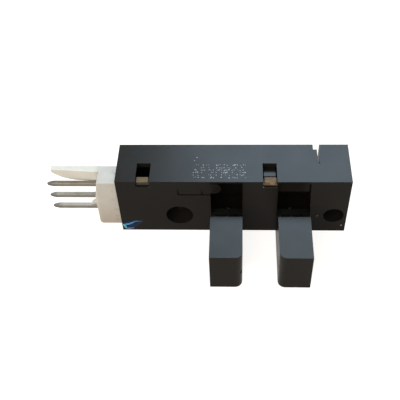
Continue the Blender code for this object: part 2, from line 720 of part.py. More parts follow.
def make_blade():
    """The lock blade, which gets thinner towards its tip."""
    tip = CONNECTOR_LEFT - BLADE_LENGTH
    front = CONNECTOR_BACK - BLADE_THICKNESS
    blade = prism("lock_blade", blade_outline(), "y", front, CONNECTOR_BACK)
    slope = (BLADE_THICKNESS - BLADE_TIP_THICKNESS) / BLADE_LENGTH
    wedge = [(CONNECTOR_LEFT, front), (tip - CUT_OVER, front + slope * (BLADE_LENGTH + CUT_OVER)),
             (tip - CUT_OVER, front - CUT_OVER), (CONNECTOR_LEFT, front - CUT_OVER)]
    bottom = CONNECTOR_TOP - BLADE_HEIGHT
    cut(blade, prism("blade_taper_cutter", wedge, "z", bottom - CUT_OVER, CONNECTOR_TOP + CUT_OVER))
    return blade


def make_connector(surface):
    """The white header: a block through the end wall, a flange that holds it, and the lock blade."""
    header = prism("connector_housing", header_outline(), "y", CONNECTOR_FRONT, CONNECTOR_BACK,
                   bevel=CONNECTOR_EDGE)
    join(header, box("flange",
                     (FLANGE_LEFT, CONNECTOR_FRONT + FLANGE_SETBACK, CONNECTOR_BOTTOM + FLANGE_STEP),
                     (FLANGE_RIGHT - FLANGE_STEP, CONNECTOR_BACK + FLANGE_RISE, CONNECTOR_TOP - FLANGE_STEP)))
    join(header, make_blade())
    nub_middle = pin_heights()[1] - PIN_PITCH / 2
    nub_low, nub_high = nub_middle - NUB_HEIGHT / 2, nub_middle + NUB_HEIGHT / 2
    root = CONNECTOR_LEFT + EMBED
    nub = [(root, nub_low), (root, nub_high), (CONNECTOR_LEFT, nub_high),
           (CONNECTOR_LEFT - NUB_REACH, nub_low)]
    join(header, prism("nub", nub, "y", PIN_Y - PIN_SIDE / 2, PIN_Y + PIN_SIDE / 2))
    side = PIN_SIDE / 2 + PIN_FIT
    for i, z in enumerate(pin_heights()):
        cut(header, box(f"pin_hole_{i}", (CONNECTOR_LEFT - CUT_OVER, PIN_Y - side, z - side),
                        (FLANGE_RIGHT + CUT_OVER, PIN_Y + side, z + side)))
    return finish(header, surface)


def pin_path():
    """The pin in plan: straight out of the header, and inside it bends down to the board."""
    bend_centre = Vector((PIN_LEG_X - PIN_BEND_RADIUS, PIN_Y - PIN_BEND_RADIUS))
    steps = 6
    bend = []
    for i in range(steps + 1):
        angle = math.pi / 2 * (1 - i / steps)
        bend.append((bend_centre.x + PIN_BEND_RADIUS * math.cos(angle),
                     bend_centre.y + PIN_BEND_RADIUS * math.sin(angle)))
    tip = CONNECTOR_LEFT - PIN_OUT
    start = [(tip, PIN_Y), (tip + PIN_TIP_LENGTH / 4, PIN_Y), (tip + PIN_TIP_LENGTH, PIN_Y)]
    return [*start, *bend, (PIN_LEG_X, BOARD_BACK + FIT)]


def make_pins(surface):
    path = pin_path()
    sides = [PIN_TIP_SIDE, PIN_SHOULDER_SIDE] + [PIN_SIDE] * (len(path) - 2)
    for i, z in enumerate(pin_heights(), start=1):
        finish(bar_in_plan(f"connector_pin_{i}", path, z, sides), surface)


def make_solder(surface):
    """A fillet ring round each lead and each pin where it meets the back of the board."""
    emitter, detector = lead_places()
    lead_hole = LEAD_SIDE / 2 * math.sqrt(2) + PIN_FIT / 2
    places = [(x, z, lead_hole, SOLDER_WALL) for x, z in emitter + detector]
    places += [(PIN_LEG_X, z, PIN_SOLDER_HOLE, PIN_SOLDER_WALL) for z in pin_heights()]
    base = BOARD_BACK + PIN_FIT
    for i, (x, z, hole, wall) in enumerate(places, start=1):
        profile = [(hole, base), (hole, base + SOLDER_RISE), (hole + wall / 4, base + SOLDER_RISE),
                   (hole + wall / 2, base + SOLDER_RISE / 2), (hole + wall, base)]
        finish(ring_along_y(f"solder_{i}", x, z, profile), surface, smooth=True)


def make_chip(name, size, place, surface):
    """A chip part that sits flat on the back of the board."""
    x, z = place
    length, height, width = size
    base = BOARD_BACK + PIN_FIT
    chip = box(name, (x - length / 2, base, z - width / 2),
               (x + length / 2, base + height, z + width / 2), bevel=CHIP_EDGE)
    return finish(chip, surface)


def main():
    clear_scene()
    frame = bpy.data.objects.new("frame", None)
    bpy.context.collection.objects.link(frame)
    black = material("black_resin", BLACK_RESIN)
    tinned = material("tinned_metal", TINNED)
    make_housing(black)
    make_cover(material("cover_resin", BLACK_RESIN))
    make_board(material("board", BOARD_MASK))
    emitter, detector = lead_places()
    make_package("emitter", emitter_face(), 1, emitter, material("emitter_resin", CLEAR_RESIN))
    make_package("detector", detector_face(), -1, detector, material("detector_resin", DARK_RESIN))
    make_leads("emitter", emitter, tinned)
    make_leads("detector", detector, tinned)
    make_connector(material("nylon", NYLON))
    make_pins(tinned)
    make_solder(material("solder", SOLDER))
    chip_black = material("chip_black", CHIP_BLACK)
    resistor_height = HOLE_HEIGHT + BOSS_RADIUS + CHIP_OVER_BOSS
    for i in (1, 2):
        place = (ROUND_HOLE_X - CHIP_SPACING * (2 - i), resistor_height)
        make_chip(f"chip_resistor_{i}", CHIP_RESISTOR, place, chip_black)
    slot_centre = RIGHT_ARM_X - SLOT_WIDTH / 2
    place = (slot_centre + CAPACITOR_TO_SLOT, BOARD_BOTTOM + CAPACITOR_RISE)
    make_chip("chip_capacitor", CHIP_CAPACITOR, place, material("chip_tan", CHIP_TAN))
    frame.location = -PART_MIDDLE * MM
    bpy.context.view_layer.update()


main()
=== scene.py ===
import math
import random

import bmesh
import bpy
from mathutils import Matrix, Vector


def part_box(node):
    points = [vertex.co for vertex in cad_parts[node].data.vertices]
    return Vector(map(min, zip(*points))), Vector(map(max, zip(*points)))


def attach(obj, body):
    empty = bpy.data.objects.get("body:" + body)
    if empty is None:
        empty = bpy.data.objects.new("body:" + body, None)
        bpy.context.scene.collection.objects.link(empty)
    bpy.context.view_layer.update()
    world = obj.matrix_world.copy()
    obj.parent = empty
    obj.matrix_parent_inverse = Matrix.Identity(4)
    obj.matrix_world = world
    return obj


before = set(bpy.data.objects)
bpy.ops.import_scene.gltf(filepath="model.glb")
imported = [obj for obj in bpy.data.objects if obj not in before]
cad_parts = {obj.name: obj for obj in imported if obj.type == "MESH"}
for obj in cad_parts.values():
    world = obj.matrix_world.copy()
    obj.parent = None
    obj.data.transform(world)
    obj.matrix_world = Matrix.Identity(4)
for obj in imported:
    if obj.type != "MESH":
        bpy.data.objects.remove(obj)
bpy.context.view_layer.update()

MM = 0.001

# Sizes of the housing that the added pieces need, in millimetres
BODY_DEPTH = 7.4
BODY_LEFT, BODY_RIGHT = (corner.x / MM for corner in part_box("housing"))
BODY_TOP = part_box("housing")[1].z / MM
BODY_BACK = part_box("housing")[1].y / MM
BODY_FRONT = BODY_BACK - BODY_DEPTH

# The camera: its target is the middle of the body's top front edge, and the
# offset is where the target lies from the lens, to its right, up and forwards
PICTURE_PIXELS = 400
FOCAL_PIXELS = 721.6
SENSOR_WIDTH = 36.0
CAMERA_YAW = math.radians(-4.549)
CAMERA_PITCH = math.radians(49.650)
CAMERA_ROLL = math.radians(-3.299)
TARGET_OFFSET = Vector((4.581, 2.522, 101.566))

# Soft edges of the moulded and cut parts
EDGE_RADIUS = {
    "housing": 0.07,
    "rear_cover": 0.05,
    "circuit_board": 0.02,
    "connector_housing": 0.06,
    "pin": 0.05,
}
# An edge is sharp, and is softened, where its faces turn by more than this
SHARP_ANGLE = math.radians(30)

# How far the connector's block stands out of the housing; what reaches further is the thin blade.
# The block's colour blends into the blade's over the second length, and smudges reach out by the third
NYLON_BLOCK_OUT = 3.6
NYLON_BLEND = 0.8
NYLON_SMUDGE_OUT = 1.2
# The share of the connector's height, from its bottom, over which painted shade darkens and warms the
# colour
NYLON_LOW_SHADE_SHARE = 0.6

# Where the board's bare tabs start: above the first height on its cut edges, which below it carry the
# dark mask colour as painted shade, and on its front above the notch floor
EDGE_SHADE_TOP = BODY_TOP - 0.86
TAB_BARE_FRONT = BODY_TOP - 1.25

# How far the chip parts' bodies reach from their middle, as a share of half their length
CHIP_BODY_SHARE = 0.62
CHIP_CAP_SHARE = 0.66

# Brush strokes of paint on the front face, near its lower left corner: each has its middle line as
# (x from the body's left end, z), its half width where it is widest, how far it stands out and colour.
# The streak is a raised ridge of paint whose light blue colour is a painted highlight
PAINT_STROKES = {
    "deep": ([(0.30, 0.85), (0.9, 0.85), (1.6, 1.05), (2.3, 1.50), (3.15, 2.05)],
             0.45, 0.04, "deep_blue"),
    "shade": ([(0.30, 1.58), (1.0, 1.72), (1.8, 2.12), (2.6, 2.38)], 0.15, 0.03, "deep_blue"),
    "streak": ([(0.20, 1.30), (0.8, 1.34), (1.45, 1.62), (2.1, 2.02), (3.3, 2.15)],
               0.16, 0.07, "painted_highlight_blue"),
    "corner": ([(0.22, 1.32), (0.42, 0.88), (0.56, 0.30)], 0.22, 0.08, "cyan"),
    "lower": ([(0.60, 0.36), (1.1, 0.36), (1.5, 0.42), (1.8, 0.52)], 0.14, 0.06, "grey_blue"),
}
# Between these distances from the body's left end the paint thins out into the dark resin's colour
PAINT_FADE = (1.3, 3.2)
STROKE_STEPS = 18
STROKE_SIDES = 8
# Below 1, a stroke is widest before its middle
STROKE_LEAN = 0.7

# The dotted mark on the top face: patches of scattered dots in a row, and two stray dots
MARK_LEFT = BODY_LEFT + 11.15
MARK_FRONT = BODY_FRONT + 0.85
MARK_GROUPS = 7
MARK_GROUP_PITCH = 1.12
MARK_COLUMNS = 4
MARK_ROWS = 6
MARK_COLUMN_PITCH = 0.23
MARK_ROW_PITCH = 0.48
MARK_DOT_RADIUS = 0.09
MARK_DOT_HEIGHT = 0.012
MARK_SCATTER = 0.09
MARK_BARE_SHARE = 0.42
MARK_SEED = 21
STRAY_DOTS = [(BODY_LEFT + 11.27, BODY_FRONT + 4.17), (BODY_LEFT + 11.61, BODY_FRONT + 4.77)]

# A curl of lint and a grain of dust on the front face, right of the arms
LINT_MIDDLE = (BODY_LEFT + 29.32, 3.45)
LINT_RADIUS = 0.22
LINT_START = math.radians(60)
LINT_TURN = math.radians(210)
LINT_THICKNESS = 0.028
LINT_STEPS = 10
LINT_SIDES = 6
GRAIN_MIDDLE = (BODY_LEFT + 33.0, 1.38)
GRAIN_RADIUS = 0.11
GRAIN_FLATNESS = (1, 0.4, 0.85)
GRAIN_SEED = 3

# The floor's own light, and the share of it that reflections show, so that the dark resin mirrors a
# dimmer ground
FLOOR_GLOW = 0.84
FLOOR_MIRRORED_SHARE = 0.45


# Node helpers

def start_material(name, colour, roughness, metallic=0.0):
    """A Principled surface with its plain values set on the shader's own sockets."""
    surface = bpy.data.materials.new(name)
    surface.use_nodes = True
    shader = surface.node_tree.nodes["Principled BSDF"]
    shader.inputs["Base Color"].default_value = (*colour, 1)
    shader.inputs["Roughness"].default_value = roughness
    shader.inputs["Metallic"].default_value = metallic
    surface.diffuse_color = (*colour, 1)
    return surface, surface.node_tree, shader


def position(tree, stretch=(1, 1, 1)):
    """Where a surface point lies, in millimetres, stretched along each axis."""
    place = tree.nodes.new("ShaderNodeTexCoord")
    scaled = tree.nodes.new("ShaderNodeMapping")
    scaled.inputs["Scale"].default_value = [1 / MM * side for side in stretch]
    tree.links.new(place.outputs["Object"], scaled.inputs["Vector"])
    return scaled.outputs["Vector"]


def noise(tree, scale, detail=3.0, stretch=(1, 1, 1), roughness=0.5):
    """Cloudy noise whose scale is in features for each millimetre."""
    texture = tree.nodes.new("ShaderNodeTexNoise")
    texture.inputs["Scale"].default_value = scale
    texture.inputs["Detail"].default_value = detail
    texture.inputs["Roughness"].default_value = roughness
    tree.links.new(position(tree, stretch), texture.inputs["Vector"])
    return texture.outputs["Fac"]


def cells(tree, scale):
    """Distances to the nearest of scattered points, for grains and specks."""
    texture = tree.nodes.new("ShaderNodeTexVoronoi")
    texture.inputs["Scale"].default_value = scale
    tree.links.new(position(tree), texture.inputs["Vector"])
    return texture.outputs["Distance"]


def ramp(tree, value, stops):
    """Turns a value into colours: stops is a list of (place, colour)."""
    node = tree.nodes.new("ShaderNodeValToRGB")
    points = node.color_ramp.elements
    points[0].position, points[0].color = stops[0][0], (*stops[0][1], 1)
    points[1].position, points[1].color = stops[-1][0], (*stops[-1][1], 1)
    for place, colour in stops[1:-1]:
        points.new(place).color = (*colour, 1)
    tree.links.new(value, node.inputs["Fac"])
    return node.outputs["Color"]


def fit_range(tree, value, low, high, new_low, new_high):
    """Moves a value from one range to another, and holds it inside the new one."""
    node = tree.nodes.new("ShaderNodeMapRange")
    node.inputs["From Min"].default_value = low
    node.inputs["From Max"].default_value = high
    node.inputs["To Min"].default_value = new_low
    node.inputs["To Max"].default_value = new_high
    tree.links.new(value, node.inputs["Value"])
    return node.outputs["Result"]


def mix_colours(tree, factor, first, second):
    """Blends two colours by a factor's socket; each colour may be a socket or a plain colour."""
    node = tree.nodes.new("ShaderNodeMix")
    node.data_type = "RGBA"
    tree.links.new(factor, typed_socket(node.inputs, "Factor", "VALUE"))
    for name, colour in (("A", first), ("B", second)):
        socket = typed_socket(node.inputs, name, "RGBA")
        if isinstance(colour, bpy.types.NodeSocket):
            tree.links.new(colour, socket)
        else:
            socket.default_value = (*colour, 1)
    return typed_socket(node.outputs, "Result", "RGBA")


def typed_socket(sockets, name, kind):
    """The socket with a name and a type: a mix node has one of each name for every type."""
    return next(socket for socket in sockets if socket.name == name and socket.type == kind)


def add_bump(tree, shader, height, strength, depth):
    """Fine relief: depth is in millimetres."""
    node = tree.nodes.new("ShaderNodeBump")
    node.inputs["Strength"].default_value = strength
    node.inputs["Distance"].default_value = depth * MM
    tree.links.new(height, node.inputs["Height"])
    tree.links.new(node.outputs["Normal"], shader.inputs["Normal"])


def facing(tree, axis):
    """How much a surface faces along an axis, from 0 to 1, whichever way it points."""
    shape = tree.nodes.new("ShaderNodeTexCoord")
    parts = tree.nodes.new("ShaderNodeSeparateXYZ")
    size = tree.nodes.new("ShaderNodeMath")
    size.operation = "ABSOLUTE"
    tree.links.new(shape.outputs["Normal"], parts.inputs["Vector"])
    tree.links.new(parts.outputs[axis], size.inputs[0])
    return size.outputs["Value"]


def coordinate(tree, axis):
    """One coordinate of a surface point, in millimetres."""
    place = tree.nodes.new("ShaderNodeSeparateXYZ")
    tree.links.new(position(tree), place.inputs["Vector"])
    return place.outputs[axis]


def multiply(tree, first, second):
    node = tree.nodes.new("ShaderNodeMath")
    node.operation = "MULTIPLY"
    tree.links.new(first, node.inputs[0])
    tree.links.new(second, node.inputs[1])
    return node.outputs["Value"]


# Materials

def black_resin(name):
    """Black moulded resin: satin, with a very fine grain, slow changes of gloss and a few dust specks."""
    surface, tree, shader = start_material(name, (0.012, 0.0105, 0.009), 0.25)
    shader.inputs["Specular IOR Level"].default_value = 0.09
    clouds = ramp(tree, noise(tree, 0.2, 2),
                  [(0.3, (0.011, 0.0096, 0.0082)), (0.7, (0.013, 0.0114, 0.0098))])
    specks = fit_range(tree, cells(tree, 0.8), 0.015, 0.035, 0.06, 0.0)
    tinted = mix_colours(tree, specks, clouds, (0.35, 0.35, 0.34))
    gloss = fit_range(tree, noise(tree, 0.3, 2), 0.3, 0.7, 0.24, 0.27)
    tree.links.new(tinted, shader.inputs["Base Color"])
    tree.links.new(gloss, shader.inputs["Roughness"])
    add_bump(tree, shader, noise(tree, 16, 2, roughness=0.6), 0.12, 0.006)
    return surface


def board_laminate():
    """A near-black green mask on the board's faces, a dark mask kept this dark also as painted shade for
    the board seen through the windows; its cut edges below the tabs carry the same dark colour as painted
    shade; bare tan glass laminate with fine layers on the tabs.
    """
    surface, tree, shader = start_material("board_laminate", (0.014, 0.017, 0.012), 0.5)
    shader.inputs["Specular IOR Level"].default_value = 0.25
    # The mask is near black: a dark mask, darkened further as painted shade inside the windows
    mask = ramp(tree, noise(tree, 2.5, 3),
                [(0.3, (0.004, 0.005, 0.004)), (0.7, (0.007, 0.008, 0.006))])
    layers = ramp(tree, noise(tree, 2.2, 4, stretch=(0.4, 3, 0.4)),
                  [(0.3, (0.078, 0.047, 0.018)),
                   (0.5, (0.120, 0.072, 0.028)),
                   (0.7, (0.156, 0.097, 0.039))])
    sanded = ramp(tree, noise(tree, 1.5, 4),
                  [(0.35, (0.036, 0.038, 0.028)), (0.65, (0.060, 0.058, 0.043))])
    scraped = ramp(tree, noise(tree, 1.2, 4),
                   [(0.42, (0.15, 0.085, 0.032)), (0.6, (0.24, 0.185, 0.125))])
    on_right_tab = fit_range(tree, coordinate(tree, "X"), 0.0, 0.1, 0.0, 1.0)
    bare_front = mix_colours(tree, on_right_tab, sanded, scraped)
    height = coordinate(tree, "Z")
    front = mix_colours(tree, fit_range(tree, height, TAB_BARE_FRONT, TAB_BARE_FRONT + 0.05, 0.0, 1.0),
                        mask, bare_front)
    # Painted shade: below the tabs the cut edges take the dark mask colour instead of the laminate's tan
    edges = mix_colours(tree, fit_range(tree, height, EDGE_SHADE_TOP, EDGE_SHADE_TOP + 0.02, 0.0, 1.0),
                        mask, layers)
    flat_side = fit_range(tree, facing(tree, "Y"), 0.4, 0.6, 0.0, 1.0)
    tree.links.new(mix_colours(tree, flat_side, edges, front), shader.inputs["Base Color"])
    tree.links.new(fit_range(tree, noise(tree, 3, 3), 0.3, 0.7, 0.45, 0.65), shader.inputs["Roughness"])
    add_bump(tree, shader, noise(tree, 8, 3, stretch=(1, 4, 1)), 0.3, 0.015)
    return surface


def white_nylon():
    """Natural white nylon: palest in the thin blade, with painted shade that darkens and warms it low
    down, and smudges by the housing.
    """
    surface, tree, shader = start_material("white_nylon", (0.58, 0.56, 0.53), 0.45)
    shader.inputs["Specular IOR Level"].default_value = 0.3
    shader.inputs["Subsurface Weight"].default_value = 0.35
    shader.inputs["Subsurface Radius"].default_value = (1.0, 0.85, 0.65)
    shader.inputs["Subsurface Scale"].default_value = 0.6 * MM
    block = ramp(tree, noise(tree, 0.4, 3), [(0.3, (0.49, 0.47, 0.43)), (0.7, (0.55, 0.53, 0.49))])
    blade = ramp(tree, noise(tree, 0.4, 3), [(0.3, (0.63, 0.61, 0.55)), (0.7, (0.69, 0.67, 0.61))])
    low, high = (corner.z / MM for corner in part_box("connector_housing"))
    along, height = coordinate(tree, "X"), coordinate(tree, "Z")
    block_left = BODY_LEFT - NYLON_BLOCK_OUT
    in_block = fit_range(tree, along, block_left, block_left + NYLON_BLEND, 0.0, 1.0)
    clouds = mix_colours(tree, in_block, blade, block)
    # Painted shade: the colour turns darker and warmer towards the connector's bottom
    low_shade = fit_range(tree, height, low, low + (high - low) * NYLON_LOW_SHADE_SHARE, 0.9, 0.0)
    low_shaded = mix_colours(tree, low_shade, clouds, (0.43, 0.37, 0.31))
    near_housing = fit_range(tree, along, BODY_LEFT - NYLON_SMUDGE_OUT, BODY_LEFT, 0.0, 0.8)
    smudges = fit_range(tree, noise(tree, 1.1, 4, roughness=0.65), 0.52, 0.66, 0.0, 1.0)
    smudged = mix_colours(tree, multiply(tree, near_housing, smudges), low_shaded, (0.22, 0.20, 0.18))
    tree.links.new(smudged, shader.inputs["Base Color"])
    tree.links.new(fit_range(tree, noise(tree, 2, 3), 0.3, 0.7, 0.4, 0.52), shader.inputs["Roughness"])
    add_bump(tree, shader, noise(tree, 6, 3), 0.15, 0.01)
    return surface


def pin_metal():
    """Dull tin plate: drawn streaks along the pin, cloudy tarnish, uneven gloss, and painted shade that
    darkens the rounded tips.
    """
    surface, tree, shader = start_material("tin_plate", (0.28, 0.25, 0.21), 0.5, 1.0)
    streaks = noise(tree, 5, 3, stretch=(0.15, 2, 2))
    bright = ramp(tree, streaks, [(0.3, (0.25, 0.225, 0.19)), (0.7, (0.32, 0.29, 0.25))])
    tarnish = fit_range(tree, noise(tree, 0.7, 3), 0.45, 0.7, 0.0, 0.45)
    dulled = mix_colours(tree, tarnish, bright, (0.20, 0.175, 0.14))
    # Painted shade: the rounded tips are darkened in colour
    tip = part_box("connector_pin_1")[0].x / MM
    tip_shade = fit_range(tree, coordinate(tree, "X"), tip + 0.5, tip + 1.6, 0.7, 0.0)
    tree.links.new(mix_colours(tree, tip_shade, dulled, (0.15, 0.145, 0.135)), shader.inputs["Base Color"])
    tree.links.new(fit_range(tree, streaks, 0.3, 0.7, 0.46, 0.6), shader.inputs["Roughness"])
    add_bump(tree, shader, streaks, 0.15, 0.008)
    return surface


def shaded_lead_metal():
    """Lead wire inside the housing, painted darker to stand for the shade it sits in, with drawn streaks.
    """
    # Painted shade: the tin is given a dark colour for the gloom inside the housing
    surface, tree, shader = start_material("shaded_lead_wire", (0.10, 0.09, 0.08), 0.5, 1.0)
    streaks = noise(tree, 5, 3, stretch=(2, 0.15, 2))
    tree.links.new(ramp(tree, streaks, [(0.3, (0.08, 0.072, 0.062)), (0.7, (0.12, 0.11, 0.098))]),
                   shader.inputs["Base Color"])
    add_bump(tree, shader, streaks, 0.15, 0.008)
    return surface


def solder():
    """Dull grey solder with a cloudy skin."""
    surface, tree, shader = start_material("solder_joint", (0.26, 0.26, 0.265), 0.45, 1.0)
    grain = noise(tree, 5, 4)
    tree.links.new(ramp(tree, grain, [(0.3, (0.20, 0.20, 0.205)), (0.7, (0.32, 0.32, 0.325))]),
                   shader.inputs["Base Color"])
    tree.links.new(fit_range(tree, grain, 0.3, 0.7, 0.4, 0.52), shader.inputs["Roughness"])
    add_bump(tree, shader, grain, 0.2, 0.02)
    return surface


def cast_resin(name, dark, light):
    """Tinted cast resin of an infrared device, with slight clouds."""
    surface, tree, shader = start_material(name, light, 0.14)
    shader.inputs["Coat Weight"].default_value = 0.4
    shader.inputs["Coat Roughness"].default_value = 0.08
    clouds = ramp(tree, noise(tree, 1.2, 3), [(0.3, dark), (0.7, light)])
    tree.links.new(clouds, shader.inputs["Base Color"])
    tree.links.new(fit_range(tree, noise(tree, 4, 3), 0.3, 0.7, 0.1, 0.2), shader.inputs["Roughness"])
    return surface


def chip_coat(name, body, ends):
    """A chip part: a fired body with tinned end caps, told apart by where they lie along x."""
    surface, tree, shader = start_material(name, body, 0.4)
    low, high = (corner.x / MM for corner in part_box(name))
    middle, half = (low + high) / 2, (high - low) / 2
    offset = tree.nodes.new("ShaderNodeMath")
    offset.operation = "SUBTRACT"
    offset.inputs[1].default_value = middle
    tree.links.new(coordinate(tree, "X"), offset.inputs[0])
    distance = tree.nodes.new("ShaderNodeMath")
    distance.operation = "ABSOLUTE"
    tree.links.new(offset.outputs["Value"], distance.inputs[0])
    cap = fit_range(tree, distance.outputs["Value"],
                    half * CHIP_BODY_SHARE, half * CHIP_CAP_SHARE, 0.0, 1.0)
    darker, lighter = (tuple(share * part for part in body) for share in (0.8, 1.15))
    speckled = ramp(tree, noise(tree, 9, 3), [(0.3, darker), (0.7, lighter)])
    tree.links.new(mix_colours(tree, cap, speckled, ends), shader.inputs["Base Color"])
    tree.links.new(cap, shader.inputs["Metallic"])
    add_bump(tree, shader, noise(tree, 12, 3), 0.2, 0.01)
    return surface


def brushed_paint(name, thin, thick):
    """Satin paint with brush streaks: its colour changes with the film and fades along the strokes."""
    surface, tree, shader = start_material(name, thick, 0.4)
    shader.inputs["Specular IOR Level"].default_value = 0.12
    streaks = noise(tree, 1.6, 3, stretch=(0.5, 1, 2.2))
    film = ramp(tree, streaks, [(0.35, thick), (0.65, thin)])
    start, end = (BODY_LEFT + distance for distance in PAINT_FADE)
    thinned = fit_range(tree, coordinate(tree, "X"), start, end, 0.0, 0.85)
    tree.links.new(mix_colours(tree, thinned, film, (0.012, 0.016, 0.025)), shader.inputs["Base Color"])
    add_bump(tree, shader, streaks, 0.4, 0.02)
    return surface


def plain_fleck(name, dark, light):
    """Something matte and uneven in tone: printed ink, lint or dust."""
    surface, tree, shader = start_material(name, light, 0.6)
    tone = ramp(tree, noise(tree, 1.7, 3), [(0.35, dark), (0.6, light)])
    tree.links.new(tone, shader.inputs["Base Color"])
    return surface


# Pieces of the frame: soft edges and materials

def soften(item, width):
    """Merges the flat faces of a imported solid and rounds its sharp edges."""
    weld = item.modifiers.new("weld", "WELD")
    weld.merge_threshold = 0.001 * MM
    flat = item.modifiers.new("flat", "DECIMATE")
    flat.decimate_type = "DISSOLVE"
    flat.angle_limit = math.radians(1)
    edge = item.modifiers.new("edge", "BEVEL")
    edge.width = width * MM
    edge.segments = 2
    edge.limit_method = "ANGLE"
    edge.angle_limit = SHARP_ANGLE
    edge.harden_normals = True
    edge.use_clamp_overlap = True


def dress(names, surface, width=None):
    """Gives CAD nodes a finished material, and soft edges if a width is named."""
    for name in names:
        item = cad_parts[name]
        item.data.materials.clear()
        item.data.materials.append(surface)
        if width:
            soften(item, width)


def numbered(prefix, count):
    return [f"{prefix}_{i}" for i in range(1, count + 1)]


def dress_frame():
    dress(["housing"], black_resin("housing_resin"), EDGE_RADIUS["housing"])
    dress(["rear_cover"], black_resin("cover_resin"), EDGE_RADIUS["rear_cover"])
    dress(["circuit_board"], board_laminate(), EDGE_RADIUS["circuit_board"])
    dress(["connector_housing"], white_nylon(), EDGE_RADIUS["connector_housing"])
    dress(numbered("connector_pin", 3), pin_metal(), EDGE_RADIUS["pin"])
    dress(numbered("emitter_lead", 2) + numbered("detector_lead", 3), shaded_lead_metal())
    dress(numbered("solder", 8), solder())
    dress(["emitter"], cast_resin("emitter_resin", (0.08, 0.11, 0.17), (0.13, 0.17, 0.25)))
    dress(["detector"], cast_resin("detector_resin", (0.008, 0.006, 0.010), (0.016, 0.013, 0.019)))
    for name in numbered("chip_resistor", 2):
        dress([name], chip_coat(name, (0.02, 0.02, 0.02), (0.6, 0.6, 0.6)))
    dress(["chip_capacitor"], chip_coat("chip_capacitor", (0.33, 0.22, 0.12), (0.6, 0.6, 0.6)))


# Added pieces

def add_piece(name, shape, surface):
    """Turns a bmesh in millimetres into a piece that rides on the part."""
    bmesh.ops.recalc_face_normals(shape, faces=shape.faces)
    bmesh.ops.scale(shape, vec=(MM, MM, MM), verts=shape.verts)
    mesh = bpy.data.meshes.new(name)
    shape.to_mesh(mesh)
    shape.free()
    mesh.materials.append(surface)
    item = bpy.data.objects.new(name, mesh)
    bpy.context.collection.objects.link(item)
    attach(item, "root")
    return item


def smooth_line(points, steps):
    """Points along a smooth curve through the given ones, in the plane."""
    line = [Vector(point) for point in points]
    line = [2 * line[0] - line[1], *line, 2 * line[-1] - line[-2]]
    spans = len(line) - 3
    curve = []
    for i in range(steps + 1):
        span = min(int(spans * i / steps), spans - 1)
        share = spans * i / steps - span
        before, here, there, after = line[span:span + 4]
        handle_out, handle_in = here + (there - before) / 6, there - (after - here) / 6
        rest = 1 - share
        curve.append(rest ** 3 * here + 3 * rest ** 2 * share * handle_out
                     + 3 * rest * share ** 2 * handle_in + share ** 3 * there)
    return curve


def make_stroke(name, points, half_width, rise, surface):
    """A brush stroke on the front face: a low ridge, widest before its middle, that tapers to its end."""
    shape = bmesh.new()
    line = smooth_line(points, STROKE_STEPS)
    rows = []
    for i, middle in enumerate(line):
        before, after = line[max(i - 1, 0)], line[min(i + 1, STROKE_STEPS)]
        along = (after - before).normalized()
        across = Vector((-along.y, along.x))
        share = (i + 0.5) / (STROKE_STEPS + 1)
        swell = math.sqrt(math.sin(math.pi * share ** STROKE_LEAN))
        row = []
        for j in range(STROKE_SIDES + 1):
            turn = math.pi * j / STROKE_SIDES
            place = middle + across * half_width * swell * math.cos(turn)
            height = rise * swell * math.sin(turn)
            row.append(shape.verts.new((BODY_LEFT + place.x, BODY_FRONT - height, place.y)))
        rows.append(row)
    for here, there in zip(rows, rows[1:]):
        for j in range(STROKE_SIDES):
            shape.faces.new((here[j], here[j + 1], there[j + 1], there[j]))
        shape.faces.new((here[STROKE_SIDES], here[0], there[0], there[STROKE_SIDES]))
    shape.faces.new(rows[0])
    shape.faces.new(rows[-1])
    item = add_piece(name, shape, surface)
    item.data.shade_smooth()
    item.data.set_sharp_from_angle(angle=math.radians(60))


def make_paint():
    """A dab of blue paint, brushed on in a few overlapping strokes."""
    colours = {
        "deep_blue": brushed_paint("deep_blue_paint", (0.001, 0.035, 0.12), (0.001, 0.012, 0.055)),
        # Painted highlight: this light blue colour stands for the glints along the raised streak
        "painted_highlight_blue": brushed_paint("light_blue_paint", (0.12, 0.35, 0.60), (0.04, 0.20, 0.36)),
        "grey_blue": brushed_paint("grey_blue_paint", (0.20, 0.27, 0.40), (0.09, 0.15, 0.26)),
        "cyan": brushed_paint("cyan_paint", (0.18, 0.50, 0.56), (0.10, 0.38, 0.46)),
    }
    for name, (points, half_width, rise, colour) in PAINT_STROKES.items():
        make_stroke(f"paint_{name}", points, half_width, rise, colours[colour])


def make_lint(surface):
    """A short curl of fibre on the front face."""
    shape = bmesh.new()
    x, z = LINT_MIDDLE
    centre = Vector((x, BODY_FRONT - LINT_THICKNESS, z))
    rows = []
    for i in range(LINT_STEPS + 1):
        turn = LINT_TURN * i / LINT_STEPS + LINT_START
        taper = LINT_THICKNESS * (1 - 0.5 * i / LINT_STEPS)
        outward = Vector((math.cos(turn), 0, math.sin(turn)))
        middle = centre + outward * LINT_RADIUS
        row = []
        for j in range(LINT_SIDES):
            angle = 2 * math.pi * j / LINT_SIDES
            sideways = outward * math.cos(angle) + Vector((0, math.sin(angle), 0))
            row.append(shape.verts.new(middle + taper * sideways))
        rows.append(row)
    for here, there in zip(rows, rows[1:]):
        for j in range(LINT_SIDES):
            k = (j + 1) % LINT_SIDES
            shape.faces.new((here[j], here[k], there[k], there[j]))
    shape.faces.new(rows[0])
    shape.faces.new(rows[-1])
    add_piece("lint_curl", shape, surface).data.shade_smooth()


